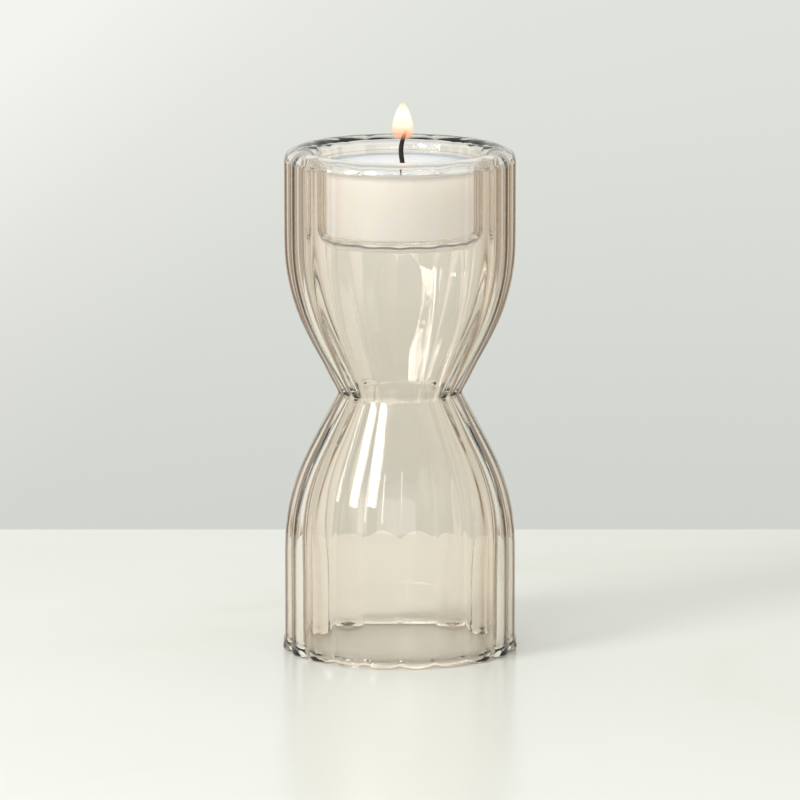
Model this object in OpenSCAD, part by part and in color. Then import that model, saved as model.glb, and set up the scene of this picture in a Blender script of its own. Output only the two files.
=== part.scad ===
// Tealight holder: a fluted hourglass of double-walled glass with a tealight standing in its top.
// Millimetres, +Z up. The origin is on the axis, on the plane that the foot stands on.
// A "crest" is the outermost line of a flute, and a flute's "depth" is how far its valley lies inside it.

/* [Tealight] */
// Outer diameter of the tealight's clear cup
tealight_d = 37.6; // [30:0.1:50]
// Height of the tealight's clear cup
tealight_h = 16; // [13:0.2:24]
// Wall and floor of the clear cup
tealight_wall = 0.4; // [0.3:0.05:0.8]
// Radius of the clear cup's bottom edge
tealight_edge = 1.2; // [0.9:0.1:2]
// Slack between the wax and the clear cup, all round
wax_slack = 0.15; // [0.1:0.05:0.4]
// How far the wax stays below the clear cup's lip
wax_below_lip = 0.6; // [0.3:0.1:3]
// Depth of the shallow melt pool in the wax
pool_depth = 0.3; // [0.1:0.05:0.6]
// Width of the wax rim left standing round the melt pool
pool_rim = 1.4; // [0.8:0.1:4]
// Width of the slope from the wax rim down into the melt pool
pool_slope = 0.6; // [0.3:0.1:1.5]

/* [Wick] */
// Diameter of the wick
wick_d = 1.2; // [0.8:0.1:2]
// Height of the burnt wick above the wax
wick_free_h = 7.8; // [4:0.2:12]
// How far the burnt wick bends sideways on its way up
wick_bend = 0.7; // [0:0.1:1.5]
// How far the burnt wick's tip leans
wick_lean = 1.3; // [0:0.1:2]
// Diameter of the metal tab that holds the wick upright
tab_d = 12.5; // [8:0.5:18]
// Thickness of the tab's sheet
tab_sheet = 0.3; // [0.2:0.05:0.5]
// Height of the tab's neck above its disc
neck_h = 3; // [2:0.5:6]
// Wall of the tab's neck
neck_wall = 0.35; // [0.2:0.05:0.5]
// Thickness of the wick's tip, as a share of the wick's diameter
wick_tip_share = 0.45; // [0.3:0.05:1]

/* [Recess] */
// Slack between the tealight and the recess, on each side
candle_slack = 0.25; // [0.2:0.05:1.5]
// How far the holder's rim stands above the tealight's lip
rim_above_lip = 3.2; // [1.5:0.1:8]
// Wall of the inner cup
cup_wall = 0.9; // [0.8:0.1:2.2]
// Floor of the inner cup
cup_floor = 2.4; // [1.2:0.1:3]
// Rounding of the inner cup's bottom edge, outside
cup_edge = 3.2; // [2:0.1:4]
// Rounding of the recess's bottom edge
recess_edge = 0.6; // [0.3:0.1:0.8]
// Depth of the inner cup's flutes
cup_flute = 0.4; // [0.2:0.1:0.7]

/* [Glass body] */
// Air gap between the inner cup and the outer shell, crest to crest
air_gap = 4.05; // [2.2:0.05:6]
// Wall of the outer shell
shell_wall = 2.1; // [1.6:0.1:3]
// Number of flutes round the body
flutes = 20; // [12:1:24]
// Depth of the flutes outside
flute_depth = 0.8; // [0.4:0.1:1.6]
// Depth of the flutes inside the wall
flute_depth_in = 0.3; // [0.3:0.1:1.2]
// Height of the straight part below the lower bell
base_h = 24; // [12:0.5:40]
// Height of each bell, from the waist to the straight part
bell_h = 35; // [26:0.5:50]
// Height of the straight part above the upper bell
top_h = 18.2; // [10:0.1:32]
// Height of the rounded rim that joins the two walls
rim_h = 2.8; // [2.6:0.1:5]
// Thickness of the rim's crown
rim_wall = 1.3; // [0.9:0.1:2.2]
// Diameter at the waist's crease, outside
waist_d = 28.2; // [22:0.2:36]
// Thickness of the glass at the waist
waist_wall = 2.5; // [2:0.1:5]
// Roundness of the bells: 1 is a single arc, less is a cone that ends in an arc
bell_round = 0.83; // [0.4:0.01:0.95]

/* [Foot] */
// How far the foot's bead stands out from the wall
bead_out = 0.5; // [0:0.1:1.2]
// How far the foot's bead stands into the hollow
bead_in = 0.4; // [0:0.1:1.2]
// Height of the foot's bead
bead_h = 3; // [2:0.1:6]
// Rounding of the foot's edges
foot_edge = 0.8; // [0.4:0.1:0.9]

/* [Hidden] */
// Facets of a round surface, points round a flute, and points along a wall's arcs
fine = 96;
flute_steps = 4;
arc_steps = 5;
edge_steps = 3;
recess_edge_steps = 2;
// Points round the burnt wick and along it
wick_sides = 8;
wick_rings = 8;
// How far a cut runs past the surface that it starts from
past = 1;

around = flutes * flute_steps;
first_crest = -90 + 180 / flutes;

tealight_r = tealight_d / 2;
recess_r = tealight_r + candle_slack + cup_flute;
cup_r = recess_r + cup_wall;
shell_in_r = cup_r + air_gap;
shell_r = shell_in_r + shell_wall;
waist_r = waist_d / 2;
throat_r = waist_r - waist_wall;

waist_z = base_h + bell_h;
bell_top_z = waist_z + bell_h;
seam_z = bell_top_z + top_h;
rim_z = seam_z + rim_h;
rim_crest_r = (shell_r + recess_r) / 2;
rim_under_h = rim_h - rim_wall;
lip_z = rim_z - rim_above_lip;
floor_z = lip_z - tealight_h;
cup_bottom_z = floor_z - cup_floor;

wax_r = tealight_r - tealight_wall - wax_slack;
wax_bottom_z = floor_z + tealight_wall;
wax_top_z = lip_z - wax_below_lip;
wick_r = wick_d / 2;
tab_r = tab_d / 2;
neck_r = wick_r + neck_wall;

// How far the surface lies inside its crest at an angle: 0 on a crest and 1 in a valley.
function valley(angle) = 1 - abs(cos((angle - first_crest) * flutes / 2));

// One ring of points round the axis. A profile point is [radius on the crests, height, flute depth].
function ring(p) = [
    for (i = [0 : around - 1])
        let (angle = first_crest + 360 * i / around, r = p[0] - p[2] * valley(angle))
            [r * cos(angle), r * sin(angle), p[1]]
];

// Faces between ring number a and ring number b.
function band(a, b) = [
    for (i = [0 : around - 1])
        let (k = (i + 1) % around)
            each [
                [a * around + i, b * around + i, b * around + k],
                [a * around + i, b * around + k, a * around + k]
            ]
];

// A cap over ring number a, seen from above or, turned, from below.
function cap(a, turned) = [[for (i = [0 : around - 1]) a * around + (turned ? i : around - 1 - i)]];

// A solid whose cross-section is a closed loop of profile points, listed up the outside and down the inside.
module fluted_ring(profile) {
    n = len(profile);
    polyhedron(
        points = [for (p = profile) each ring(p)],
        faces = [for (j = [0 : n - 1]) each band(j, (j + 1) % n)]
    );
}

// A solid closed across the axis at both ends of its profile, which starts at the bottom.
module fluted_cup(profile) {
    n = len(profile);
    polyhedron(
        points = [for (p = profile) each ring(p)],
        faces = concat([for (j = [0 : n - 2]) each band(j, j + 1)], cap(0, true), cap(n - 1, false))
    );
}

// The bell from the waist outwards: a straight line from [waist radius, 0] that runs into an arc, which ends
// upright at [body radius, bell height]. Returns [radius, height above the waist] points.
function bell(r_waist, r_body, steps) =
    let (
        widening = r_body - r_waist,
        arc_r = bell_round * (widening * widening + bell_h * bell_h) / (2 * widening),
        to_centre = [r_body - arc_r - r_waist, bell_h],
        slope = atan2(to_centre[0], to_centre[1]) + asin(arc_r / norm(to_centre))
    )
        concat(
            [[r_waist, 0]],
            [
                for (i = [0 : steps])
                    let (turn = slope * (1 - i / steps))
                        [r_body - arc_r * (1 - cos(turn)), bell_h - arc_r * sin(turn)]
            ]
        );

function backwards(list) = [for (i = [len(list) - 1 : -1 : 0]) list[i]];
function without_first(list) = [for (i = [1 : len(list) - 1]) list[i]];

// The hourglass wall on one side, from the lower bell's foot to the upper bell's top.
function hourglass(r_waist, r_body, depth) =
    let (side = bell(r_waist, r_body, arc_steps))
        concat(
            [for (p = backwards(side)) [p[0], waist_z - p[1], depth * p[0] / r_body]],
            [for (p = without_first(side)) [p[0], waist_z + p[1], depth * p[0] / r_body]]
        );

// The rounded foot, from the hollow's side to the outside.
foot_profile = [
    [shell_in_r, bead_h, flute_depth_in],
    [shell_in_r - bead_in, bead_h / 2, flute_depth_in],
    [shell_in_r - bead_in, foot_edge, flute_depth_in],
    [shell_in_r - bead_in + foot_edge, 0, flute_depth_in],
    [shell_r + bead_out - foot_edge, 0, flute_depth],
    [shell_r + bead_out, foot_edge, flute_depth],
    [shell_r + bead_out, bead_h / 2, flute_depth],
    [shell_r, bead_h, flute_depth]
];

shell_profile = concat(
    foot_profile,
    hourglass(waist_r, shell_r, flute_depth),
    [[shell_r, seam_z, flute_depth], [shell_in_r, seam_z, flute_depth_in]],
    backwards(hourglass(throat_r, shell_in_r, flute_depth_in))
);

// Points along a quarter of an ellipse, from angle a to angle b, about [centre radius, seam height].
function rim_arc(centre_r, half_w, h, a, b, depth_a, depth_b) = [
    for (i = [0 : arc_steps])
        let (share = i / arc_steps, angle = a + (b - a) * share)
            [
                centre_r + half_w * cos(angle),
                seam_z + h * sin(angle),
                depth_a + (depth_b - depth_a) * share
            ]
];

// The inner cup runs up its outside, bends over under the rim to the seam on the outer shell,
// comes back over the rim's crest and runs down into the recess.
cup_profile = concat(
    [[cup_r - cup_edge, cup_bottom_z, 0]],
    [
        for (i = [1 : edge_steps])
            let (share = i / edge_steps, angle = 90 * share)
                [
                    cup_r - cup_edge * (1 - sin(angle)),
                    cup_bottom_z + cup_edge * (1 - cos(angle)),
                    cup_flute * share
                ]
    ],
    rim_arc((cup_r + shell_in_r) / 2, air_gap / 2, rim_under_h, 180, 0, cup_flute, flute_depth_in),
    rim_arc(rim_crest_r, shell_r - rim_crest_r, rim_h, 0, 180, flute_depth, cup_flute),
    [
        for (i = [0 : recess_edge_steps])
            let (share = i / recess_edge_steps, angle = 90 * share)
                [
                    recess_r - recess_edge * (1 - cos(angle)),
                    floor_z + recess_edge * (1 - sin(angle)),
                    cup_flute * (1 - share)
                ]
    ]
);

module outer_shell() {
    color([0.86, 0.77, 0.66, 0.45])
        fluted_ring(shell_profile);
}

module inner_cup() {
    color([0.93, 0.94, 0.92, 0.4])
        fluted_cup(cup_profile);
}

module tealight_cup() {
    inner_edge = tealight_edge - tealight_wall;
    color([0.9, 0.92, 0.94, 0.4])
        translate([0, 0, floor_z])
            difference() {
                round_bottomed(tealight_r, tealight_h, tealight_edge);
                translate([0, 0, tealight_wall])
                    round_bottomed(tealight_r - tealight_wall, tealight_h, inner_edge);
            }
}

// A cylinder whose bottom edge is rounded.
module round_bottomed(r, h, edge) {
    rotate_extrude($fn = fine)
        union() {
            translate([0, edge])
                square([r, h - edge]);
            square([r - edge, edge]);
            intersection() {
                translate([r - edge, edge])
                    circle(edge, $fn = fine);
                square([r, edge]);
            }
        }
}

module wax() {
    wax_h = wax_top_z - wax_bottom_z;
    pool_r = wax_r - pool_rim;
    color([0.96, 0.94, 0.88])
        translate([0, 0, wax_bottom_z])
            difference() {
                round_bottomed(wax_r, wax_h, tealight_edge - tealight_wall);
                rotate_extrude($fn = fine)
                    polygon([
                        [0, wax_h - pool_depth],
                        [pool_r - pool_slope, wax_h - pool_depth],
                        [pool_r, wax_h],
                        [pool_r, wax_h + past],
                        [0, wax_h + past]
                    ]);
                translate([0, 0, -past]) {
                    cylinder(h = wax_h + 2 * past, r = wick_r, $fn = fine);
                    cylinder(h = past + tab_sheet, r = tab_r, $fn = fine);
                    cylinder(h = past + tab_sheet + neck_h, r = neck_r, $fn = fine);
                }
            }
}

// Middle of the burnt wick at a share of its height: it bows to one side and its tip leans to the other.
function wick_middle(share) = [
    wick_lean * share * share - wick_bend * sin(180 * share),
    0,
    wax_top_z - pool_depth + (wick_free_h + pool_depth) * share
];
function burnt_r(share) = wick_r * (1 - (1 - wick_tip_share) * share * share);

module burnt_wick() {
    rings = [
        for (j = [0 : wick_rings])
            let (share = j / wick_rings, c = wick_middle(share), r = burnt_r(share))
                [for (i = [0 : wick_sides - 1]) c + r * [cos(360 * i / wick_sides), sin(360 * i / wick_sides), 0]]
    ];
    sides = [
        for (j = [0 : wick_rings - 1], i = [0 : wick_sides - 1])
            let (k = (i + 1) % wick_sides, a = j * wick_sides, b = a + wick_sides)
                each [[a + i, b + i, b + k], [a + i, b + k, a + k]]
    ];
    ends = [
        [for (i = [0 : wick_sides - 1]) i],
        [for (i = [wick_sides - 1 : -1 : 0]) wick_rings * wick_sides + i]
    ];
    polyhedron(points = [for (r = rings) each r], faces = concat(sides, ends));
}

module wick() {
    color([0.12, 0.1, 0.09])
        union() {
            translate([0, 0, wax_bottom_z + tab_sheet])
                cylinder(h = wax_top_z - pool_depth - wax_bottom_z - tab_sheet, r = wick_r, $fn = fine);
            burnt_wick();
        }
}

module wick_tab() {
    color([0.75, 0.76, 0.77])
        translate([0, 0, wax_bottom_z])
            difference() {
                union() {
                    cylinder(h = tab_sheet, r = tab_r, $fn = fine);
                    cylinder(h = tab_sheet + neck_h, r = neck_r, $fn = fine);
                }
                translate([0, 0, tab_sheet])
                    cylinder(h = neck_h + past, r = wick_r, $fn = fine);
            }
}

outer_shell();
inner_cup();
tealight_cup();
wax();
wick();
wick_tab();
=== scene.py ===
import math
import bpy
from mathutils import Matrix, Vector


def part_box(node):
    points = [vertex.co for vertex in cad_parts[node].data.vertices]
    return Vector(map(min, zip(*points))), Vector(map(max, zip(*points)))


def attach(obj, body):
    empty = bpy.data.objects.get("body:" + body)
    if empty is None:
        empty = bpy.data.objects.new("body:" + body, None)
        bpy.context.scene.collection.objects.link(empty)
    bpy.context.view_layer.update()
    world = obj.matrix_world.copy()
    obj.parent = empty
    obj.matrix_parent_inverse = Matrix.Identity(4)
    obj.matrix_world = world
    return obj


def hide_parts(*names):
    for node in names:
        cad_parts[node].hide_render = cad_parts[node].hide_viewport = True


bl_info = {
    "name": "Fluted Glass Tealight Holder",
    "version": (1, 0, 0),
    "blender": (4, 5, 0),
    "location": "3D View > Sidebar > Tealight",
    "description": "Blown glass, candle, flame and studio for a fluted double-walled tealight holder",
    "category": "Add Mesh",
}

import bpy
from mathutils import Vector

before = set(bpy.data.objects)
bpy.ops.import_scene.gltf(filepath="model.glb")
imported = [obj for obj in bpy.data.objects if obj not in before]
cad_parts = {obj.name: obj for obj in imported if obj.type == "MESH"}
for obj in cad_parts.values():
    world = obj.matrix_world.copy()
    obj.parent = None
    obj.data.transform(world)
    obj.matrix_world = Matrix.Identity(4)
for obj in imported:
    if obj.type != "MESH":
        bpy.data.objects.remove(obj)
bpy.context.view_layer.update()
MM = 0.001
SMOOTHING = 2  # levels of subdivision on every turned piece
SAME_PLACE = 1e-6  # metres within which two heights count as the same


def node_box(name):
    """Lowest and highest corners of a CAD node, as vectors."""
    low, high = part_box(name)
    return Vector(low), Vector(high)


SHELL_HIGH = node_box("outer_shell")[1]
RIM_LOW, RIM_HIGH = node_box("inner_cup")
CUP_LOW = node_box("tealight_cup")[0]
WAX_LOW, WAX_HIGH = node_box("wax")
WICK_HIGH = node_box("wick")[1]


# ---------------------------------------------------------------- settings


def linear(hex_colour):
    """An sRGB hex colour as linear values, with full alpha."""
    channels = [int(hex_colour[i : i + 2], 16) / 255 for i in (1, 3, 5)]
    return (*[c / 12.92 if c <= 0.04045 else ((c + 0.055) / 1.055) ** 2.4 for c in channels], 1.0)


def length(name, description, metres):
    """A length that a user can change."""
    return bpy.props.FloatProperty(name=name, description=description, default=metres, unit="LENGTH")


def share(name, description, value):
    """A ratio or strength that a user can change."""
    return bpy.props.FloatProperty(name=name, description=description, default=value)


def colour(name, description, hex_colour):
    """A colour that a user can change."""
    return bpy.props.FloatVectorProperty(
        name=name, description=description, default=linear(hex_colour), size=4, min=0, max=1, subtype="COLOR"
    )


class GlassSizes(bpy.types.PropertyGroup):
    """Sizes of the blown glass."""

    flutes: bpy.props.IntProperty(
        name="Flutes", description="Number of flutes round the body", default=20, min=8, max=32
    )
    waist_height: length("Waist height", "Height of the crease at the waist", 0.059)
    bell_height: length("Bell height", "From the waist to the straight part", 0.035)
    bell_round: share("Bell roundness", "1 is a single arc, less is a cone that ends in one", 0.83)
    waist_radius: length("Waist radius", "Outside radius at the crease", 0.0141)
    throat_radius: length("Throat radius", "Inside radius at the waist", 0.0116)
    wall: length("Wall", "Thickness of the outer shell", 0.0021)
    bead: length("Foot bead", "How far the fire-polished foot stands out", 0.0005)
    cup_wall: length("Cup wall", "Thickness of the inner cup", 0.0009)
    cup_corner: length("Cup corner", "Radius of the corner under the inner cup", 0.0032)
    air_gap: length("Air gap", "Between the inner cup and the shell", 0.00405)
    rim_wall: length("Rim wall", "Thickness of the rolled rim's crown", 0.0013)
    flute_out: length("Flute depth outside", "Depth of the flutes outside", 0.00065)
    flute_in: length("Flute depth inside", "Depth of the flutes inside the wall", 0.0005)
    flute_cup: length("Cup flute depth", "Depth of the inner cup's flutes", 0.0004)
    flute_foot: share("Flutes over the foot", "Their depth on the straight part over the foot", 1.25)
    flute_bell: share("Flutes on the lower bell", "Their depth on the lower bell", 0.7)
    fade_below: length("Fade start", "How far under the lower bell the flutes start to fade", 0.004)
    fade_height: length("Fade height", "Over how much height the flutes fade", 0.018)
    lobe_out: share("Foot lobes outside", "Their depth round the foot's edge, outside", 2.0)
    lobe_in: share("Foot lobes inside", "Their depth round the foot's edge, inside", 1.6)
    foot_edge: length("Foot edge", "How high the rounded edge under the foot reaches", 0.0013)
    scallop: length("Foot scallop", "How far the foot's edge rises between its lobes", 0.0005)
    crease: share("Valley crease", "How crisp the lines between the flutes are", 0.5)


class CandleSizes(bpy.types.PropertyGroup):
    """Sizes of the wax, wick and flame."""

    wax_swell: length("Wax swell", "How far melted wax has filled the cup's clearance", 0.0001)
    pool_radius: length("Pool radius", "Radius of the ring where the pool starts to rise to the wick", 0.008)
    pool_depth: length("Pool depth", "How far the melted pool lies under the wax's edge", 0.0006)
    wick_radius: length("Wick radius", "Radius of the braid", 0.0006)
    wick_root: length("Wick root", "How deep the burnt wick starts under the wax's edge", 0.0015)
    flame_base: length("Flame base", "Height of the flame's foot", WICK_HIGH.z - 0.0024)
    flame_tip: length("Flame tip", "Height of the flame's tip", WICK_HIGH.z + 0.0064)
    flame_radius: length("Flame radius", "Widest radius of the flame", 0.0027)
    flame_lean: length("Flame offset", "Sideways place of the flame", 0.0006)


class StudioSizes(bpy.types.PropertyGroup):
    """Camera and table."""

    camera_back: length("Camera distance", "Level distance from the axis", 1.879)
    camera_height: length("Camera height", "Height above the table", 0.3925)
    aim_height: length("Aim height", "Height that the camera looks at", 0.057)
    light_height: length("Light aim", "Height that the lights face", 0.06)
    lens: share("Lens", "Focal length in millimetres", 378.0)
    table_back: length("Table edge", "How far the table reaches behind the holder", 0.14)
    table_depth: length("Table depth", "From its back edge to its front edge", 1.3)
    table_width: length("Table width", "From its left edge to its right edge", 2.4)
    table_thickness: length("Table thickness", "Thickness of the slab", 0.03)
    table_edge: length("Table bevel", "Width of the bevel along the slab's edges", 0.001)


class GlassColours(bpy.types.PropertyGroup):
    """Colours of the glass, from a wall seen square on to one seen edge on, with the dark lines along the
    edges painted as shade.
    """

    tint_square: colour("Champagne, square on", "Tinted glass seen square on", "#FCF7F0")
    tint_turned: colour("Champagne, turned", "Tinted glass turned a little away", "#F8F0E5")
    tint_slant: colour("Champagne, at a slant", "Tinted glass seen at a slant", "#EAD8C2")
    # Painted shade: the next three colours draw the dark line along an edge.
    tint_painted_shade_start: colour("Edge brown", "Where the dark line along an edge starts", "#704C2E")
    tint_painted_shade: colour("Edge dark brown", "The dark line along an edge", "#4E3018")
    tint_painted_shade_end: colour("Edge honey", "Just outside the dark line", "#CDB08A")
    tint_edge: colour("Champagne, edge on", "Tinted glass seen edge on", "#B09068")
    clear_square: colour("Clear glass, square on", "Clear glass seen square on", "#FFFFFF")
    clear_slant: colour("Clear glass, at a slant", "Clear glass seen at a slant", "#FBF7F0")
    # Painted shade: these two colours draw the brown line along an edge.
    clear_painted_shade_near_edge: colour("Clear glass, near the edge", "Clear glass seen nearly edge on", "#9C7C5C")
    clear_painted_shade_edge: colour("Clear glass, edge on", "Clear glass seen edge on", "#5A4028")
    plastic_square: colour("Plastic, square on", "Clear plastic seen square on", "#FFFFFF")
    plastic_slant: colour("Plastic, at a slant", "Clear plastic seen at a slant", "#F4F2F6")
    plastic_edge: colour("Plastic, edge on", "Clear plastic seen edge on", "#D9D4E4")


class CandleColours(bpy.types.PropertyGroup):
    """Colours of the wax, wick, tab and flame."""

    wax_deep: colour("Wax, deep grain", "Darker crystals in the wax", "#F5F4ED")
    wax_pale: colour("Wax, pale grain", "Paler crystals in the wax", "#FAFBF8")
    # Painted light: an emission colour on the wax's side, in place of daylight through the glass.
    wax_painted_daylight: colour("Wax glow", "Stands in for daylight that the glass lets through to the wax", "#FFFCF8")
    char_deep: colour("Char, deep", "Hollows of the burnt braid", "#0B0908")
    char_pale: colour("Char, pale", "Crests of the burnt braid", "#2E2621")
    ember: colour("Ember", "Glowing end of the wick", "#E0662E")
    tin_deep: colour("Tin, deep", "Darker rolling lines", "#B9BABB")
    tin_pale: colour("Tin, pale", "Paler rolling lines", "#D2D3D3")
    flame_foot: colour("Flame foot", "Thin orange gas at the foot", "#E9703C")
    flame_low: colour("Flame, low", "Just over the foot", "#FFB98A")
    flame_body: colour("Flame body", "Lower part of the body", "#FFEAD0")
    flame_heart: colour("Flame heart", "Brightest part", "#FFF7E6")
    flame_point: colour("Flame point", "The tip", "#FFDDB4")


class StudioColours(bpy.types.PropertyGroup):
    """Colours of the table, lights and surroundings."""

    marble_vein: colour("Marble veins", "Faint veins of the table", "#E6E4D5")
    marble: colour("Marble", "Ground of the table", "#ECECE5")
    marble_pale: colour("Marble, pale", "Palest patches of the table", "#EFEFE9")
    window: colour("Window light", "Colour of the window light", "#FAFDFF")
    card: colour("Front card", "Colour of the front card", "#FFFEFD")
    strip: colour("Strip light", "Colour of the strip light", "#FFFEFC")
    wall_lit: colour("Wall, lit end", "The wall where the window lights it", "#F1F2ED")
    wall_near: colour("Wall, near the light", "The wall a little further on", "#E6E7E2")
    wall_far: colour("Wall, far from the light", "The wall past its middle", "#DFE1DB")
    wall_end: colour("Wall, far end", "The wall at its darkest end", "#DDE0DA")
    gaps: colour("Gaps between panels", "The dark gaps that draw the glass's edges", "#B1A490")
    ceiling: colour("Ceiling", "The surroundings overhead", "#CBCDCB")


# ---------------------------------------------------------------- materials


def grey(level):
    """A linear grey, as a colour."""
    return (level, level, level, 1.0)


def node(tree, kind, settings=None, inputs=None, links=None, stops=()):
    """Adds a node with its settings, socket values, links from other outputs, and a colour ramp's stops."""
    made = tree.nodes.new(kind)
    for name, value in (settings or {}).items():
        setattr(made, name, value)
    for name, value in (inputs or {}).items():
        made.inputs[name].default_value = value
    for name, source in (links or {}).items():
        tree.links.new(source, made.inputs[name])
    if stops:
        elements = made.color_ramp.elements
        for _ in range(len(stops) - len(elements)):
            elements.new(0.5)
        for element, (position, shade) in zip(elements, stops):
            element.position = position
            element.color = shade
    return made


def new_material(name):
    """An empty node material and its tree."""
    material = bpy.data.materials.new(name)
    material.use_nodes = True
    material.node_tree.nodes.clear()
    return material, material.node_tree


def glass_material(name, ior, rough, ripple_mm, ripple_depth_mm, tints):
    """Clear or tinted glass: a smooth melt surface with faint ripples, drawn out along its height in blowing.

    tints gives its colour from square on (0) to edge on (1): light runs further through a slanted wall. A
    dark band in tints is painted shade along the edges."""
    material, tree = new_material(name)
    place = node(tree, "ShaderNodeTexCoord").outputs["Object"]
    drawn = node(tree, "ShaderNodeMapping", inputs={"Scale": (1, 1, 0.12)}, links={"Vector": place})
    ripple = node(
        tree,
        "ShaderNodeTexNoise",
        inputs={"Scale": 1 / (ripple_mm * MM), "Detail": 1.0, "Roughness": 0.4},
        links={"Vector": drawn.outputs["Vector"]},
    )
    bump = node(
        tree,
        "ShaderNodeBump",
        inputs={"Strength": 1.0, "Distance": ripple_depth_mm * MM},
        links={"Height": ripple.outputs["Fac"]},
    )
    smear = node(
        tree,
        "ShaderNodeMapRange",
        inputs={"From Min": 0.3, "From Max": 0.7, "To Min": rough * 0.5, "To Max": rough * 1.5},
        links={"Value": ripple.outputs["Fac"]},
    )
    slant = node(tree, "ShaderNodeLayerWeight", inputs={"Blend": 0.5})
    # Where the tints hold a dark band, this colour paints shade as a dark line along the edges.
    tint = node(tree, "ShaderNodeValToRGB", links={"Fac": slant.outputs["Facing"]}, stops=tints)
    shader = node(
        tree,
        "ShaderNodeBsdfPrincipled",
        inputs={"IOR": ior, "Transmission Weight": 1.0},
        links={
            "Base Color": tint.outputs["Color"],
            "Normal": bump.outputs["Normal"],
            "Roughness": smear.outputs["Result"],
        },
    )
    node(tree, "ShaderNodeOutputMaterial", links={"Surface": shader.outputs["BSDF"]})
    return material


def champagne_glass(colours):
    """Blown soda-lime glass, tinted light champagne: nearly clear square on, with brown lines along its edges
    that are partly the tint deepening through a slanted wall and partly painted shade.
    """
    tints = (
        (0.0, colours.tint_square),
        (0.46, colours.tint_turned),
        (0.6, colours.tint_slant),
        # Painted shade: the brown to dark brown band is the dark line along the edges.
        (0.65, colours.tint_painted_shade_start),
        (0.74, colours.tint_painted_shade),
        (0.8, colours.tint_painted_shade_end),
        (1.0, colours.tint_edge),
    )
    return glass_material(
        "blown_champagne_glass", ior=1.5, rough=0.0, ripple_mm=5.0, ripple_depth_mm=0.04, tints=tints
    )


def clear_glass(colours):
    """Blown clear soda-lime glass: colourless, with a thin line of painted brown shade where it is seen edge
    on.
    """
    tints = (
        (0.0, colours.clear_square),
        (0.78, colours.clear_slant),
        # Painted shade: the brown line where the clear glass is seen edge on.
        (0.9, colours.clear_painted_shade_near_edge),
        (1.0, colours.clear_painted_shade_edge),
    )
    return glass_material(
        "blown_clear_glass", ior=1.5, rough=0.0, ripple_mm=5.0, ripple_depth_mm=0.02, tints=tints
    )


def clear_plastic(colours):
    """Injection moulded polycarbonate: clear and glossy, faintly violet edge on, with hardly any ripple."""
    tints = ((0.0, colours.plastic_square), (0.8, colours.plastic_slant), (1.0, colours.plastic_edge))
    return glass_material(
        "moulded_clear_polycarbonate", ior=1.58, rough=0.02, ripple_mm=9.0, ripple_depth_mm=0.005, tints=tints
    )


def wax_material(colours):
    """Poured paraffin: light goes a few millimetres in and comes out warm, the melted pool is wet, and the
    side has a painted glow in place of daylight through the glass.
    """
    material, tree = new_material("poured_paraffin_wax")
    place = node(tree, "ShaderNodeTexCoord").outputs["Object"]
    crystals = node(
        tree,
        "ShaderNodeTexNoise",
        inputs={"Scale": 1 / (3.5 * MM), "Detail": 4.0, "Roughness": 0.6},
        links={"Vector": place},
    )
    tone = node(
        tree,
        "ShaderNodeValToRGB",
        links={"Fac": crystals.outputs["Fac"]},
        stops=((0.3, colours.wax_deep), (0.7, colours.wax_pale)),
    )
    height = node(tree, "ShaderNodeSeparateXYZ", links={"Vector": place})
    wet = node(
        tree,
        "ShaderNodeMapRange",
        inputs={
            "From Min": WAX_HIGH.z - 0.6 * MM,
            "From Max": WAX_HIGH.z - 0.2 * MM,
            "To Min": 0.45,
            "To Max": 0.08,
        },
        links={"Value": height.outputs["Z"]},
    )
    # Painted light: the side's faint glow stands in for daylight that the glass walls would let through to
    # it.
    glow = node(
        tree,
        "ShaderNodeMapRange",
        inputs={
            "From Min": WAX_HIGH.z - 1.6 * MM,
            "From Max": WAX_HIGH.z - 0.3 * MM,
            "To Min": 0.5,
            "To Max": 0.0,
        },
        links={"Value": height.outputs["Z"]},
    )
    fine = node(
        tree,
        "ShaderNodeBump",
        inputs={"Strength": 0.3, "Distance": 0.1 * MM},
        links={"Height": crystals.outputs["Fac"]},
    )
    shader = node(
        tree,
        "ShaderNodeBsdfPrincipled",
        inputs={
            "IOR": 1.44,
            "Subsurface Weight": 1.0,
            "Subsurface Radius": (9 * MM, 7.5 * MM, 5.5 * MM),
            "Subsurface Scale": 1.0,
            "Emission Color": colours.wax_painted_daylight,
        },
        links={
            "Emission Strength": glow.outputs["Result"],
            "Base Color": tone.outputs["Color"],
            "Roughness": wet.outputs["Result"],
            "Normal": fine.outputs["Normal"],
        },
    )
    node(tree, "ShaderNodeOutputMaterial", links={"Surface": shader.outputs["BSDF"]})
    return material


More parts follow.
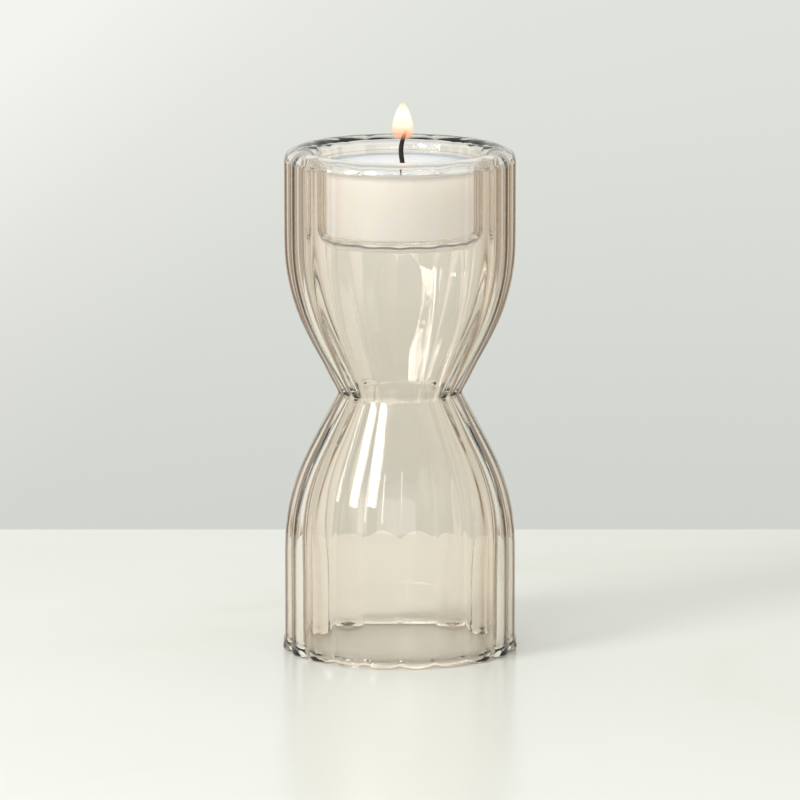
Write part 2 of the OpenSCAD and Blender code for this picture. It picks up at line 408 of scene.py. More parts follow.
def wick_material(colours):
    """Charred cotton braid: near black and dull, with a glowing end."""
    material, tree = new_material("charred_cotton_braid")
    place = node(tree, "ShaderNodeTexCoord").outputs["Object"]
    braid = node(
        tree,
        "ShaderNodeTexNoise",
        inputs={"Scale": 1 / (0.4 * MM), "Detail": 3.0, "Roughness": 0.6},
        links={"Vector": place},
    )
    char = node(
        tree,
        "ShaderNodeValToRGB",
        links={"Fac": braid.outputs["Fac"]},
        stops=((0.35, colours.char_deep), (0.7, colours.char_pale)),
    )
    height = node(tree, "ShaderNodeSeparateXYZ", links={"Vector": place})
    glow = node(
        tree,
        "ShaderNodeMapRange",
        inputs={
            "From Min": WICK_HIGH.z - 1.1 * MM,
            "From Max": WICK_HIGH.z - 0.1 * MM,
            "To Min": 0.0,
            "To Max": 1.2,
        },
        links={"Value": height.outputs["Z"]},
    )
    bump = node(
        tree,
        "ShaderNodeBump",
        inputs={"Strength": 0.6, "Distance": 0.1 * MM},
        links={"Height": braid.outputs["Fac"]},
    )
    shader = node(
        tree,
        "ShaderNodeBsdfPrincipled",
        inputs={"Roughness": 0.85, "Emission Color": colours.ember},
        links={
            "Base Color": char.outputs["Color"],
            "Emission Strength": glow.outputs["Result"],
            "Normal": bump.outputs["Normal"],
        },
    )
    node(tree, "ShaderNodeOutputMaterial", links={"Surface": shader.outputs["BSDF"]})
    return material


def tin_material(colours):
    """Tinned steel sheet, rolled and stamped: bright, with rolling lines a quarter of a millimetre apart."""
    material, tree = new_material("stamped_tinned_steel")
    place = node(tree, "ShaderNodeTexCoord").outputs["Object"]
    along = node(
        tree,
        "ShaderNodeMapping",
        inputs={"Scale": (1 / (0.25 * MM), 1 / (4 * MM), 1 / (4 * MM))},
        links={"Vector": place},
    )
    lines = node(
        tree,
        "ShaderNodeTexNoise",
        inputs={"Scale": 1.0, "Detail": 3.0},
        links={"Vector": along.outputs["Vector"]},
    )
    rough = node(
        tree,
        "ShaderNodeMapRange",
        inputs={"From Min": 0.3, "From Max": 0.7, "To Min": 0.22, "To Max": 0.4},
        links={"Value": lines.outputs["Fac"]},
    )
    shade = node(
        tree,
        "ShaderNodeValToRGB",
        links={"Fac": lines.outputs["Fac"]},
        stops=((0.3, colours.tin_deep), (0.7, colours.tin_pale)),
    )
    shader = node(
        tree,
        "ShaderNodeBsdfPrincipled",
        inputs={"Metallic": 1.0},
        links={"Base Color": shade.outputs["Color"], "Roughness": rough.outputs["Result"]},
    )
    node(tree, "ShaderNodeOutputMaterial", links={"Surface": shader.outputs["BSDF"]})
    return material


def flame_material(colours, low, high):
    """Burning wax vapour: white hot in the body, orange and thin at the foot, gone at the edge."""
    material, tree = new_material("candle_flame")
    place = node(tree, "ShaderNodeTexCoord").outputs["Object"]
    height = node(tree, "ShaderNodeSeparateXYZ", links={"Vector": place})
    rise = node(
        tree,
        "ShaderNodeMapRange",
        inputs={"From Min": low, "From Max": high, "To Min": 0.0, "To Max": 1.0},
        links={"Value": height.outputs["Z"]},
    )
    heat = node(
        tree,
        "ShaderNodeValToRGB",
        links={"Fac": rise.outputs["Result"]},
        stops=(
            (0.0, colours.flame_foot),
            (0.2, colours.flame_low),
            (0.42, colours.flame_body),
            (0.75, colours.flame_heart),
            (1.0, colours.flame_point),
        ),
    )
    body = node(
        tree,
        "ShaderNodeValToRGB",
        links={"Fac": rise.outputs["Result"]},
        stops=((0.0, grey(0.0)), (0.12, grey(0.35)), (0.4, grey(1.0)), (0.8, grey(1.0)), (1.0, grey(0.25))),
    )
    edge = node(tree, "ShaderNodeLayerWeight", inputs={"Blend": 0.35})
    soft = node(
        tree,
        "ShaderNodeMapRange",
        settings={"interpolation_type": "SMOOTHSTEP"},
        inputs={"From Min": 0.12, "From Max": 0.72, "To Min": 1.0, "To Max": 0.0},
        links={"Value": edge.outputs["Facing"]},
    )
    alpha = node(
        tree,
        "ShaderNodeMath",
        settings={"operation": "MULTIPLY"},
        links={0: body.outputs["Color"], 1: soft.outputs["Result"]},
    )
    shader = node(
        tree,
        "ShaderNodeBsdfPrincipled",
        inputs={
            "Base Color": grey(0.0),
            "Specular IOR Level": 0.0,
            "Roughness": 1.0,
            "Emission Strength": 1.3,
        },
        links={"Emission Color": heat.outputs["Color"], "Alpha": alpha.outputs["Value"]},
    )
    node(tree, "ShaderNodeOutputMaterial", links={"Surface": shader.outputs["BSDF"]})
    return material


def table_material(colours):
    """Honed white marble: pale, faintly veined, with a soft shine."""
    material, tree = new_material("honed_white_marble")
    place = node(tree, "ShaderNodeTexCoord").outputs["Object"]
    warp = node(
        tree,
        "ShaderNodeTexNoise",
        inputs={"Scale": 5.0, "Detail": 5.0, "Distortion": 1.2},
        links={"Vector": place},
    )
    cloud = node(
        tree,
        "ShaderNodeValToRGB",
        links={"Fac": warp.outputs["Fac"]},
        stops=((0.3, colours.marble_vein), (0.45, colours.marble), (0.7, colours.marble_pale)),
    )
    shader = node(
        tree,
        "ShaderNodeBsdfPrincipled",
        inputs={"Roughness": 0.22, "IOR": 1.5},
        links={"Base Color": cloud.outputs["Color"]},
    )
    node(tree, "ShaderNodeOutputMaterial", links={"Surface": shader.outputs["BSDF"]})
    return material


# ---------------------------------------------------------------- modelling


def deselect():
    """Leaves edit mode and selects nothing."""
    if bpy.context.object is not None and bpy.context.object.mode != "OBJECT":
        bpy.ops.object.mode_set(mode="OBJECT")
    bpy.ops.object.select_all(action="DESELECT")


def pick(obj, wanted):
    """Selects the edges whose vertices wanted() accepts, in edit mode."""
    bpy.ops.object.mode_set(mode="EDIT")
    bpy.ops.mesh.select_mode(type="VERT")
    bpy.ops.mesh.select_all(action="DESELECT")
    bpy.ops.object.mode_set(mode="OBJECT")
    found = 0
    for vertex in obj.data.vertices:
        vertex.select = wanted(vertex.co)
        found += vertex.select
    if not found:
        raise RuntimeError(f"nothing to pick on {obj.name}")
    bpy.ops.object.mode_set(mode="EDIT")
    bpy.ops.mesh.select_mode(type="EDGE")


def first_ring(name, around, radius, z):
    """A flat ring of vertices, the start of every turned piece."""
    deselect()
    bpy.ops.mesh.primitive_circle_add(vertices=around, radius=radius, location=(0, 0, z))
    obj = bpy.context.object
    obj.name = obj.data.name = name
    bpy.ops.object.transform_apply(location=True, rotation=True, scale=True)
    return obj


def valley_share(x, y, flutes):
    """0 on the crest of a flute, 1 in its valley. A valley faces the front."""
    turn = math.atan2(y, x) + math.pi / 2
    return 1 - abs(math.sin(turn * flutes / 2))


def deepen(obj, ring, z, old, new, flutes):
    """Takes a ring's flutes from an old to a new depth, as shares of the crest's radius, and selects it."""
    halfway = 1 - math.sin(math.pi / 4)
    for part in (1.0, halfway):
        bpy.ops.object.mode_set(mode="EDIT")
        bpy.ops.mesh.select_mode(type="VERT")
        bpy.ops.mesh.select_all(action="DESELECT")
        bpy.ops.object.mode_set(mode="OBJECT")
        for i in ring:
            vertex = obj.data.vertices[i]
            vertex.select = abs(valley_share(vertex.co.x, vertex.co.y, flutes) - part) < 0.05
        bpy.ops.object.mode_set(mode="EDIT")
        factor = (1 - new * part) / (1 - old * part)
        bpy.ops.transform.resize(value=(factor, factor, 1), center_override=(0, 0, z))
    bpy.ops.mesh.select_all(action="DESELECT")
    bpy.ops.object.mode_set(mode="OBJECT")
    for i in ring:
        obj.data.vertices[i].select = True
    bpy.ops.object.mode_set(mode="EDIT")
    bpy.ops.mesh.select_mode(type="EDGE")


def turn_profile(obj, profile, flutes=0):
    """Extrudes and scales the first ring along a profile of (crest radius, height, flute share)."""
    radius, z, depth = profile[0]
    if depth:
        deepen(obj, [vertex.index for vertex in obj.data.vertices], z, 0.0, depth, flutes)
    bpy.ops.object.mode_set(mode="EDIT")
    bpy.ops.mesh.select_mode(type="EDGE")
    bpy.ops.mesh.select_all(action="SELECT")
    for new_radius, new_z, new_depth in profile[1:]:
        bpy.ops.mesh.extrude_region_move(TRANSFORM_OT_translate={"value": (0, 0, new_z - z)})
        scale = new_radius / radius
        bpy.ops.transform.resize(value=(scale, scale, 1), center_override=(0, 0, new_z))
        if abs(new_depth - depth) > 1e-9:
            bpy.ops.object.mode_set(mode="OBJECT")
            ring = [vertex.index for vertex in obj.data.vertices if vertex.select]
            deepen(obj, ring, new_z, depth, new_depth, flutes)
        radius, z, depth = new_radius, new_z, new_depth
    bpy.ops.object.mode_set(mode="OBJECT")


def on_ring(radius, z, depth=0.0, flutes=0):
    """A test for the vertices of one ring."""

    def test(co):
        part = valley_share(co.x, co.y, flutes) if flutes else 0.0
        reach = radius * (1 - depth * part)
        return abs(co.z - z) < SAME_PLACE and abs(math.hypot(co.x, co.y) - reach) < 0.03 * MM

    return test


def bridge_ends(obj, profile, flutes):
    """Joins the last ring of a profile to its first one."""
    first, last = on_ring(*profile[0], flutes), on_ring(*profile[-1], flutes)
    pick(obj, lambda co: first(co) or last(co))
    bpy.ops.mesh.bridge_edge_loops()
    bpy.ops.object.mode_set(mode="OBJECT")


def close_on_axis(obj, radius, z):
    """Draws a round ring together to one point on the axis."""
    pick(obj, on_ring(radius, z))
    bpy.ops.mesh.extrude_region_move(TRANSFORM_OT_translate={"value": (0, 0, 0)})
    bpy.ops.transform.resize(value=(0.3, 0.3, 1), center_override=(0, 0, z))
    bpy.ops.mesh.extrude_region_move(TRANSFORM_OT_translate={"value": (0, 0, 0)})
    bpy.ops.mesh.merge(type="CENTER")
    bpy.ops.object.mode_set(mode="OBJECT")


def turn_closed(name, around, profile, flutes=0):
    """Turns a piece whose profile starts and ends in a disc across the axis."""
    obj = first_ring(name, around, profile[0][0], profile[0][1])
    turn_profile(obj, profile, flutes)
    for radius, z, _ in (profile[0], profile[-1]):
        close_on_axis(obj, radius, z)
    return obj


def crease_valleys(obj, flutes, amount, above=-1.0, beyond=1 * MM):
    """Keeps the lines between the flutes crisp when the piece is smoothed."""

    def in_valley(co):
        outside = co.z > above and math.hypot(co.x, co.y) > beyond
        return outside and valley_share(co.x, co.y, flutes) > 0.98

    pick(obj, in_valley)
    bpy.ops.transform.edge_crease(value=amount)
    bpy.ops.object.mode_set(mode="OBJECT")


def lift_valleys(obj, flutes, below, amount):
    """Raises the lines between the flutes at the foot, which scallops its edge."""
    pick(obj, lambda co: co.z < below and valley_share(co.x, co.y, flutes) > 0.9)
    bpy.ops.transform.translate(value=(0, 0, amount))
    bpy.ops.object.mode_set(mode="OBJECT")


def open_weld(obj, z):
    """Leaves the glass open where shell and rim melt into one another, so no skin lies between them."""
    pick(obj, lambda co: abs(co.z - z) < SAME_PLACE)
    bpy.ops.mesh.select_mode(type="FACE")
    bpy.ops.mesh.delete(type="FACE")
    bpy.ops.object.mode_set(mode="OBJECT")


def finish_mesh(obj, weld=None):
    """Outward normals, then smoothing by applied subdivision. weld is the height of an open joint, if any."""
    deselect()
    obj.select_set(True)
    bpy.context.view_layer.objects.active = obj
    bpy.ops.object.mode_set(mode="EDIT")
    bpy.ops.mesh.select_all(action="SELECT")
    bpy.ops.mesh.remove_doubles(threshold=SAME_PLACE)
    bpy.ops.mesh.normals_make_consistent(inside=False)
    bpy.ops.object.mode_set(mode="OBJECT")
    if weld is not None:
        open_weld(obj, weld)
    bpy.ops.object.modifier_add(type="SUBSURF")
    modifier = obj.modifiers[-1]
    modifier.levels = modifier.render_levels = SMOOTHING
    bpy.ops.object.modifier_apply(modifier=modifier.name)
    bpy.ops.object.shade_smooth()


def dress(obj, material, body, slot, *nodes):
    """Gives a finished piece its material and body, and hides the CAD nodes that it stands for. slot is not
    used.
    """
    obj.data.materials.clear()
    obj.data.materials.append(material)
    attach(obj, body)
    if nodes:
        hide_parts(*nodes)


def dress_node(name, material):
    """Gives a CAD node its material."""
    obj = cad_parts[name]
    for slot in obj.material_slots:
        slot.material = material
    if not obj.material_slots:
        obj.data.materials.append(material)


# ---------------------------------------------------------------- glass profiles


def bell(r_waist, r_body, height, roundness, dips):
    """Radii and heights from the waist: a straight line that runs into an arc ending upright.

    dips are the places of the straight line's rings, as shares of it."""
    widening = r_body - r_waist
    arc_r = roundness * (widening**2 + height**2) / (2 * widening)
    to_x, to_z = r_body - arc_r - r_waist, height
    slope = math.atan2(to_x, to_z) + math.asin(arc_r / math.hypot(to_x, to_z))
    start_r, start_z = r_body - arc_r * (1 - math.cos(slope)), height - arc_r * math.sin(slope)
    line = [(r_waist + (start_r - r_waist) * dip, start_z * dip) for dip in dips]
    steps = 6
    turns = [slope * (1 - i / steps) for i in range(steps + 1)]
    arc = [(r_body - arc_r * (1 - math.cos(turn)), height - arc_r * math.sin(turn)) for turn in turns]
    return line + arc


def shell_radius(sizes):
    """Crest radius of the straight part, from the CAD foot's box."""
    return SHELL_HIGH.x / math.cos(math.pi / sizes.flutes) - sizes.bead


def faded(sizes, z):
    """How deep the flutes are at a height under the waist: full on the straight part, faint on the bell."""
    low = sizes.waist_height - sizes.bell_height
    part = min(1.0, max(0.0, (z - low + sizes.fade_below) / sizes.fade_height))
    return sizes.flute_foot - (sizes.flute_foot - sizes.flute_bell) * part * part * (3 - 2 * part)


def foot_profile(sizes, r_out, r_in, out, inn):
    """The fire-polished foot, from inside the wall round its lobed bead to the straight part."""
    bead, lobe, lobe_in = sizes.bead, sizes.lobe_out * out, sizes.lobe_in * out
    return [
        (r_in - 0.3 * bead, 1.5 * MM, inn),
        (r_in - 0.6 * bead, 0.8 * MM, lobe_in),
        (r_in + 0.2 * bead, 0.15 * MM, lobe_in),
        (r_in + 0.9 * MM, 0.0, lobe_in),
        (r_out + 0.2 * bead, 0.0, lobe),
        (r_out + 1.0 * bead, 0.35 * MM, lobe),
        (r_out + 1.15 * bead, 0.95 * MM, lobe),
        (r_out + 0.8 * bead, 1.6 * MM, 1.4 * out),
    ]


def shell_profile(sizes):
    """The outer shell's section: foot, outside up to the seam, and the inside down again."""
    r_out = shell_radius(sizes)
    r_in = r_out - sizes.wall
    out, inn = sizes.flute_out / r_out, sizes.flute_in / r_in
    waist, top = sizes.waist_height, SHELL_HIGH.z
    low, high = waist - sizes.bell_height, waist + sizes.bell_height
    shape = sizes.bell_height, sizes.bell_round
    outside = bell(sizes.waist_radius, r_out, *shape, (0.0, 0.05, 0.2, 0.5, 0.8))
    inside = bell(sizes.throat_radius, r_in, *shape, (0.0, 0.1, 0.3, 0.6))
    foot = foot_profile(sizes, r_out, r_in, out, inn)
    foot += [(r_out, z * MM, out * faded(sizes, z * MM)) for z in (2.4, 7, 13, 19)]
    up = [(r, waist - z, out * faded(sizes, waist - z)) for r, z in reversed(outside)]
    up += [(r, waist + z, out) for r, z in outside[1:]]
    under_seam = (top - 1.2 * MM, (high + top) / 2)
    neck = [(r_out, z, out) for z in reversed(under_seam)]
    neck += [(r_out, top, out), (r_in, top, inn)]
    neck += [(r_in, z, inn) for z in under_seam]
    down = [(r, waist + z, inn) for r, z in reversed(inside)]
    down += [(r, waist - z, inn) for r, z in inside[1:]]
    down += [(r_in, z, inn) for z in (low - 6 * MM, low - 12 * MM, 6 * MM, 3 * MM)]
    return foot + up + neck + down


def cup_profile(sizes):
    """The inner cup's section, from its floor's underside up over the rim and down into the recess."""
    r_out = shell_radius(sizes)
    r_in = r_out - sizes.wall
    cup = r_in - sizes.air_gap
    recess = cup - sizes.cup_wall
    seam, rise = SHELL_HIGH.z, RIM_HIGH.z - SHELL_HIGH.z
    bottom, floor = RIM_LOW.z, CUP_LOW.z
    out, inn, fl = sizes.flute_out / r_out, sizes.flute_in / r_in, sizes.flute_cup / recess
    corner = sizes.cup_corner
    rings = [(cup - corner - 3 * MM, bottom, 0.0), (cup - corner, bottom, 0.0)]
    for degrees, fluted in ((25, 0.2), (50, 0.5), (75, 0.8), (90, 1.0)):
        turn = math.radians(degrees)
        radius, z = cup - corner * (1 - math.sin(turn)), bottom + corner * (1 - math.cos(turn))
        rings.append((radius, z, fl * fluted))
    rings += [(cup, bottom + 7 * MM, fl), (cup, seam - 6 * MM, fl), (cup, seam - 1.5 * MM, fl)]

    # The underside of the rolled rim, from the cup's wall over the air gap to the shell's inside.
    under, gap = rise - sizes.rim_wall, sizes.air_gap / 2
    for degrees in (180, 145, 110, 70, 35, 0):
        turn = math.radians(degrees)
        radius, z = cup + gap + gap * math.cos(turn), seam + under * math.sin(turn)
        rings.append((radius, z, fl + (inn - fl) * (1 - degrees / 180)))

    # The rim's crown, from the shell's outside over to the recess.
    crest = (r_out + recess) / 2
    for degrees in (0, 10, 35, 60, 80, 100, 120, 145, 170, 180):
        turn = math.radians(degrees)
        radius, z = crest + (r_out - crest) * math.cos(turn), seam + rise * math.sin(turn)
        rings.append((radius, z, out + (fl - out) * degrees / 180))

    rings += [(recess, z, fl) for z in (seam - 2 * MM, seam - 8 * MM, floor + 4 * MM, floor + 1.2 * MM)]
    rings += [(recess - 0.2 * MM, floor + 0.3 * MM, fl / 2), (recess - 0.8 * MM, floor, 0.0)]
    rings += [(recess - 5 * MM, floor, 0.0)]
    return rings


# ---------------------------------------------------------------- candle shapes

# Millimetres in from the wax's side and up from its underside.
WAX_FOOT = ((1.2, 0.0), (0.3, 0.15), (0.0, 0.9), (0.0, 7.0))
# Millimetres in from the wax's side and down from its top: the rounded edge, then the meniscus.
WAX_EDGE = ((0.0, 1.5), (0.0, 0.3), (0.15, 0.02), (0.6, 0.2), (1.6, 0.45), (4.0, 0.58))
# Radii and millimetres down from the wax's top, where the pool climbs the wick.
POOL_MIDDLE = ((2.0, 0.55), (1.2, 0.4))
# Millimetres sideways and up from the wax's edge, and how much thicker each bend is than the one before.
WICK_BENDS = (
    (0.6, -0.4, 1.0),
    (0.5, 0.6, 1.04),
    (0.28, 1.8, 1.0),
    (0.2, 3.1, 0.98),
    (0.32, 4.4, 0.98),
    (0.6, 5.6, 0.96),
    (0.95, 6.6, 0.92),
    (1.25, 7.4, 0.85),
    (1.4, 7.75, 0.6),
)
BRAID_TURN = math.radians(14)
# Shares of the flame's radius and of its height.
FLAME_SHAPE = (
    (0.5, 0.0),
    (0.82, 0.08),
    (0.98, 0.2),
    (1.0, 0.32),
    (0.9, 0.5),
    (0.68, 0.7),
    (0.42, 0.87),
    (0.2, 0.97),
)


def pour_wax(sizes):
    """The poured wax, with a rounded foot, a meniscus against its cup and a melted pool."""
    radius, low, top = WAX_HIGH.x + sizes.wax_swell, WAX_LOW.z - sizes.wax_swell, WAX_HIGH.z
    profile = [(sizes.pool_radius, low, 0.0)]
    profile += [(radius - inward * MM, low + up * MM, 0.0) for inward, up in WAX_FOOT]
    profile += [(radius - inward * MM, top - down * MM, 0.0) for inward, down in WAX_EDGE]
    profile += [(sizes.pool_radius, top - sizes.pool_depth, 0.0)]
    profile += [(reach * MM, top - down * MM, 0.0) for reach, down in POOL_MIDDLE]
    wax = turn_closed("poured_wax", 48, profile)
    finish_mesh(wax)
    return wax


def draw_wick(sizes):
    """The burnt wick: a thin braid that is carried through its bends and tapers to a glowing end."""
    at = Vector((sizes.wick_radius, 0, WAX_HIGH.z - sizes.wick_root))
    wick = first_ring("burnt_wick", 8, sizes.wick_radius, at.z)
    bpy.ops.object.mode_set(mode="EDIT")
    bpy.ops.mesh.select_mode(type="EDGE")
    bpy.ops.mesh.select_all(action="SELECT")
    bpy.ops.transform.translate(value=(at.x, 0, 0))
    for x, z, swell in WICK_BENDS:
        step = Vector((x * MM, 0, WAX_HIGH.z + z * MM)) - at
        bpy.ops.mesh.extrude_region_move(TRANSFORM_OT_translate={"value": step})
        at += step
        bpy.ops.transform.resize(value=(swell, swell, 1), center_override=at)
        bpy.ops.transform.rotate(value=BRAID_TURN, orient_axis="Z", center_override=at)
    bpy.ops.mesh.extrude_region_move(TRANSFORM_OT_translate={"value": (0, 0, 0)})
    bpy.ops.mesh.merge(type="CENTER")
    bpy.ops.object.mode_set(mode="OBJECT")
    finish_mesh(wick)
    return wick


# ---------------------------------------------------------------- operators


class TEALIGHT_OT_outer_shell(bpy.types.Operator):
    """Turn the tinted hourglass shell with its flutes and fire-polished foot"""

    bl_idname = "tealight.outer_shell"
    bl_label = "Outer shell"

    def execute(self, context):
        sizes = context.scene.tealight_glass
        profile = shell_profile(sizes)
        obj = first_ring("blown_outer_shell", sizes.flutes * 4, profile[0][0], profile[0][1])
        turn_profile(obj, profile, sizes.flutes)
        bridge_ends(obj, profile, sizes.flutes)
        crease_valleys(obj, sizes.flutes, sizes.crease)
        lift_valleys(obj, sizes.flutes, sizes.foot_edge, sizes.scallop)
        finish_mesh(obj, SHELL_HIGH.z)
        material = champagne_glass(context.scene.tealight_glass_colours)
        dress(obj, material, "holder", "tinted_glass", "outer_shell")
        return {"FINISHED"}


class TEALIGHT_OT_inner_cup(bpy.types.Operator):
    """Turn the clear inner cup with its rolled rim"""

    bl_idname = "tealight.inner_cup"
    bl_label = "Inner cup"

    def execute(self, context):
        sizes = context.scene.tealight_glass
        obj = turn_closed("blown_inner_cup", sizes.flutes * 4, cup_profile(sizes), sizes.flutes)
        inner_radius = shell_radius(sizes) - sizes.wall - sizes.flute_in
        crease_valleys(obj, sizes.flutes, sizes.crease, SHELL_HIGH.z - 0.01 * MM, inner_radius - 0.1 * MM)
        finish_mesh(obj, SHELL_HIGH.z)
        material = clear_glass(context.scene.tealight_glass_colours)
        dress(obj, material, "holder", "clear_glass", "inner_cup")
        return {"FINISHED"}


class TEALIGHT_OT_candle(bpy.types.Operator):
    """Make the wax and wick, and dress the clear cup and wick tab"""

    bl_idname = "tealight.candle"
    bl_label = "Tealight"

    def execute(self, context):
        sizes, colours = context.scene.tealight_candle, context.scene.tealight_candle_colours
        dress_node("tealight_cup", clear_plastic(context.scene.tealight_glass_colours))
        dress(pour_wax(sizes), wax_material(colours), "candle", "paraffin_wax", "wax")
        dress(draw_wick(sizes), wick_material(colours), "candle", "burnt_wick", "wick")
        dress_node("wick_tab", tin_material(colours))
        return {"FINISHED"}


class TEALIGHT_OT_flame(bpy.types.Operator):
    """Draw the flame over the wick"""

    bl_idname = "tealight.flame"
    bl_label = "Flame"

    def execute(self, context):
        sizes = context.scene.tealight_candle
        low, high = sizes.flame_base, sizes.flame_tip
        profile = [(sizes.flame_radius * wide, low + (high - low) * up, 0.0) for wide, up in FLAME_SHAPE]
        obj = turn_closed("flame", 16, profile)
        bpy.ops.object.mode_set(mode="EDIT")
        bpy.ops.mesh.select_all(action="SELECT")
        bpy.ops.transform.translate(value=(sizes.flame_lean, 0, 0))
        bpy.ops.object.mode_set(mode="OBJECT")
        finish_mesh(obj)
        material = flame_material(context.scene.tealight_candle_colours, low, high)
        dress(obj, material, "candle", "burnt_wick")
        return {"FINISHED"}


def face_towards(obj, target):
    """Turns a camera or light to face a place."""
    obj.rotation_euler = (Vector(target) - obj.location).to_track_quat("-Z", "Y").to_euler()


def soft_panel(name, aim, azimuth, elevation, reach, size, radiance, shade):
    """A rectangular soft light that faces a height on the axis. Azimuth counts rightwards from the front."""
    across, up = math.radians(azimuth), math.radians(elevation)
    level = math.cos(up) * reach
    place = (math.sin(across) * level, -math.cos(across) * level, math.sin(up) * reach + aim)
    bpy.ops.object.light_add(type="AREA", location=place)
    light = bpy.context.object
    light.name = light.data.name = name
    light.data.shape = "RECTANGLE"
    light.data.size, light.data.size_y = size
    light.data.energy = radiance * math.pi * size[0] * size[1]
    light.data.color = shade[:3]
    face_towards(light, (0, 0, aim))
    return light


def lay_table(sizes, colours):
    """The marble slab that the holder stands on."""
    place = (0, sizes.table_back - sizes.table_depth / 2, -sizes.table_thickness / 2)
    slab = (sizes.table_width, sizes.table_depth, sizes.table_thickness)
    bpy.ops.mesh.primitive_cube_add(size=1, location=place, scale=slab)
    table = bpy.context.object
    table.name = table.data.name = "table"
    bpy.ops.object.transform_apply(location=True, rotation=True, scale=True)
    bpy.ops.object.modifier_add(type="BEVEL")
    bevel = table.modifiers[-1]
    bevel.width, bevel.segments = sizes.table_edge, 3
    bpy.ops.object.modifier_apply(modifier=bevel.name)
    table.data.materials.append(table_material(colours))


class TEALIGHT_OT_stage(bpy.types.Operator):
    """Set up the table, lights, surroundings and camera"""

    bl_idname = "tealight.stage"
    bl_label = "Stage"

    def execute(self, context):
        sizes, colours = context.scene.tealight_studio, context.scene.tealight_studio_colours
        deselect()
        lay_table(sizes, colours)
        aim = sizes.light_height
        soft_panel(
            "window_light",
            aim,
            azimuth=-50,
            elevation=30,
            reach=1.0,
            size=(0.32, 0.5),
            radiance=11.0,
            shade=colours.window,
        )
        card = soft_panel(
            "front_card",
            aim,
            azimuth=-10,
            elevation=15,
            reach=2.3,
            size=(2.2, 0.8),
            radiance=1.9,
            shade=colours.card,
        )
        card.visible_glossy = False
        soft_panel(
            "strip_light",
            aim,
            azimuth=-20,
            elevation=24,
            reach=1.2,
            size=(0.06, 0.6),
            radiance=7.0,
            shade=colours.strip,
        )

        bpy.ops.object.camera_add(location=(0, -sizes.camera_back, sizes.camera_height))
        camera = context.object
        camera.data.lens = sizes.lens
        camera.data.sensor_width = 36
        camera.data.clip_start, camera.data.clip_end = 0.1, 20
        face_towards(camera, (0, 0, sizes.aim_height))
        context.scene.camera = camera
        surroundings(context.scene, colours)
        context.scene.view_settings.view_transform = "Standard"
        cycles = context.scene.cycles
        cycles.max_bounces = cycles.transmission_bounces = cycles.transparent_max_bounces = 24
        cycles.glossy_bounces = 8
        return {"FINISHED"}


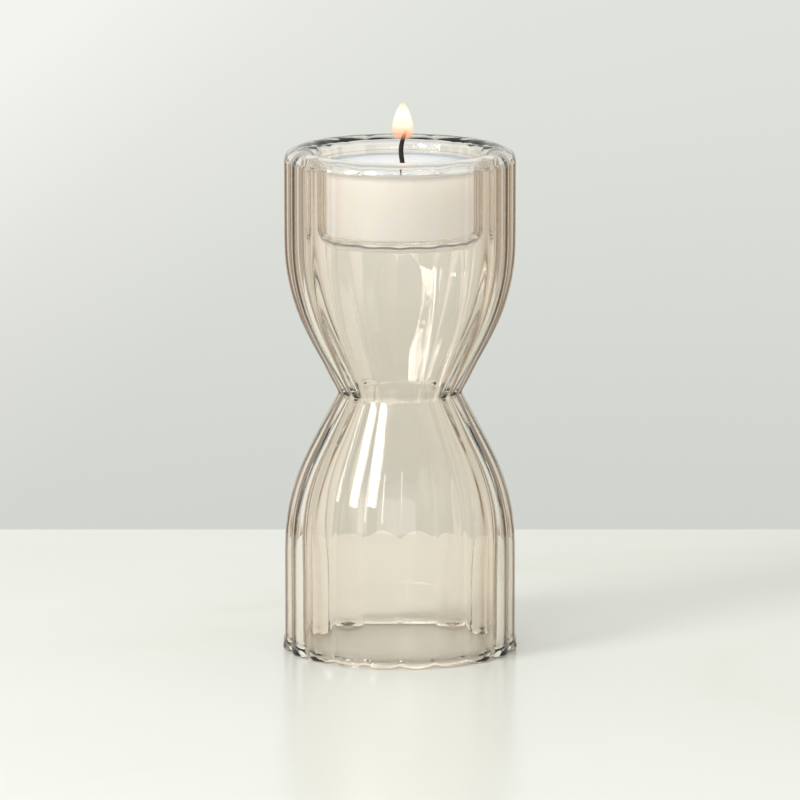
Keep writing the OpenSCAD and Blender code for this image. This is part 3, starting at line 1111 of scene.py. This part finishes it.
def surroundings(scene, colours):
    """A studio of pale panels round the holder, with dark gaps between them low down that draw its edges."""
    world = bpy.data.worlds.new("studio")
    scene.world = world
    world.use_nodes = True
    tree = world.node_tree
    tree.nodes.clear()
    direction = node(tree, "ShaderNodeTexCoord").outputs["Generated"]
    way = node(tree, "ShaderNodeSeparateXYZ", links={"Vector": direction})
    x, y, z = (way.outputs[axis] for axis in "XYZ")

    # The gaps between the panels come back every half of a right angle, and only under the horizon.
    turn = node(tree, "ShaderNodeMath", settings={"operation": "ARCTAN2"}, links={0: x, 1: y})
    off_square = node(
        tree,
        "ShaderNodeMath",
        settings={"operation": "PINGPONG"},
        inputs={1: math.pi / 4},
        links={0: turn.outputs["Value"]},
    )
    across = node(
        tree,
        "ShaderNodeMapRange",
        inputs={"From Min": 0.0, "From Max": math.pi / 4},
        links={"Value": off_square.outputs["Value"]},
    )
    lit, dark = grey(1.0), grey(0.0)
    panels = node(
        tree,
        "ShaderNodeValToRGB",
        links={"Fac": across.outputs["Result"]},
        stops=((0.0, lit), (0.6, lit), (0.68, dark), (0.92, dark), (0.97, lit), (1.0, lit)),
    )
    above = node(
        tree,
        "ShaderNodeMapRange",
        inputs={"From Min": -0.1, "From Max": -0.05},
        links={"Value": z},
    )
    open_sky = node(
        tree,
        "ShaderNodeMath",
        settings={"operation": "MAXIMUM"},
        links={0: panels.outputs["Color"], 1: above.outputs["Result"]},
    )
    seen = node(
        tree,
        "ShaderNodeMath",
        settings={"operation": "MAXIMUM"},
        links={0: open_sky.outputs["Value"], 1: node(tree, "ShaderNodeLightPath").outputs["Is Camera Ray"]},
    )

    # The wall is bright at its upper left and darkens downwards.
    aslant = node(tree, "ShaderNodeMath", settings={"operation": "SUBTRACT"}, links={0: x, 1: z})
    from_left = node(
        tree,
        "ShaderNodeMapRange",
        inputs={"From Min": 0.09, "From Max": 0.195},
        links={"Value": aslant.outputs["Value"]},
    )
    wall = node(
        tree,
        "ShaderNodeValToRGB",
        links={"Fac": from_left.outputs["Result"]},
        stops=(
            (0.0, colours.wall_lit),
            (0.25, colours.wall_near),
            (0.5, colours.wall_far),
            (1.0, colours.wall_end),
        ),
    )
    fall = node(
        tree,
        "ShaderNodeMapRange",
        settings={"interpolation_type": "SMOOTHSTEP"},
        inputs={"From Min": -0.2, "From Max": -0.125, "To Min": 0.88, "To Max": 1.02},
        links={"Value": z},
    )
    panel = node(
        tree,
        "ShaderNodeVectorMath",
        settings={"operation": "SCALE"},
        links={0: wall.outputs["Color"], "Scale": fall.outputs["Result"]},
    )
    level = node(
        tree,
        "ShaderNodeMix",
        settings={"data_type": "RGBA"},
        inputs={6: colours.gaps},
        links={0: seen.outputs["Value"], 7: panel.outputs["Vector"]},
    )
    high = node(
        tree,
        "ShaderNodeMapRange",
        settings={"interpolation_type": "SMOOTHSTEP"},
        inputs={"From Min": 0.4, "From Max": 0.75},
        links={"Value": z},
    )
    dome = node(
        tree,
        "ShaderNodeMix",
        settings={"data_type": "RGBA"},
        inputs={7: colours.ceiling},
        links={0: high.outputs["Result"], 6: level.outputs[2]},
    )
    shader = node(tree, "ShaderNodeBackground", inputs={"Strength": 1.0}, links={"Color": dome.outputs[2]})
    node(tree, "ShaderNodeOutputWorld", links={"Surface": shader.outputs["Background"]})


# ---------------------------------------------------------------- add-on

GROUPS = {
    "tealight_glass": GlassSizes,
    "tealight_candle": CandleSizes,
    "tealight_studio": StudioSizes,
    "tealight_glass_colours": GlassColours,
    "tealight_candle_colours": CandleColours,
    "tealight_studio_colours": StudioColours,
}
PIECES = (
    TEALIGHT_OT_stage,
    TEALIGHT_OT_outer_shell,
    TEALIGHT_OT_inner_cup,
    TEALIGHT_OT_candle,
    TEALIGHT_OT_flame,
)


class TEALIGHT_PT_panel(bpy.types.Panel):
    """Buttons that build the holder's pieces and its studio, and their sizes and colours"""

    bl_label = "Tealight Holder"
    bl_idname = "TEALIGHT_PT_panel"
    bl_space_type = "VIEW_3D"
    bl_region_type = "UI"
    bl_category = "Tealight"

    def draw(self, context):
        for operator in PIECES:
            self.layout.operator(operator.bl_idname)
        for name, group in GROUPS.items():
            for setting in group.__annotations__:
                self.layout.prop(getattr(context.scene, name), setting)


def register():
    for name, group in GROUPS.items():
        bpy.utils.register_class(group)
        setattr(bpy.types.Scene, name, bpy.props.PointerProperty(type=group))
    for operator in PIECES:
        bpy.utils.register_class(operator)
    bpy.utils.register_class(TEALIGHT_PT_panel)


def unregister():
    bpy.utils.unregister_class(TEALIGHT_PT_panel)
    for operator in reversed(PIECES):
        bpy.utils.unregister_class(operator)
    for name, group in GROUPS.items():
        delattr(bpy.types.Scene, name)
        bpy.utils.unregister_class(group)


def main():
    register()
    bpy.ops.tealight.stage()
    bpy.ops.tealight.outer_shell()
    bpy.ops.tealight.inner_cup()
    bpy.ops.tealight.candle()
    bpy.ops.tealight.flame()


if __name__ == "__main__":
    main()
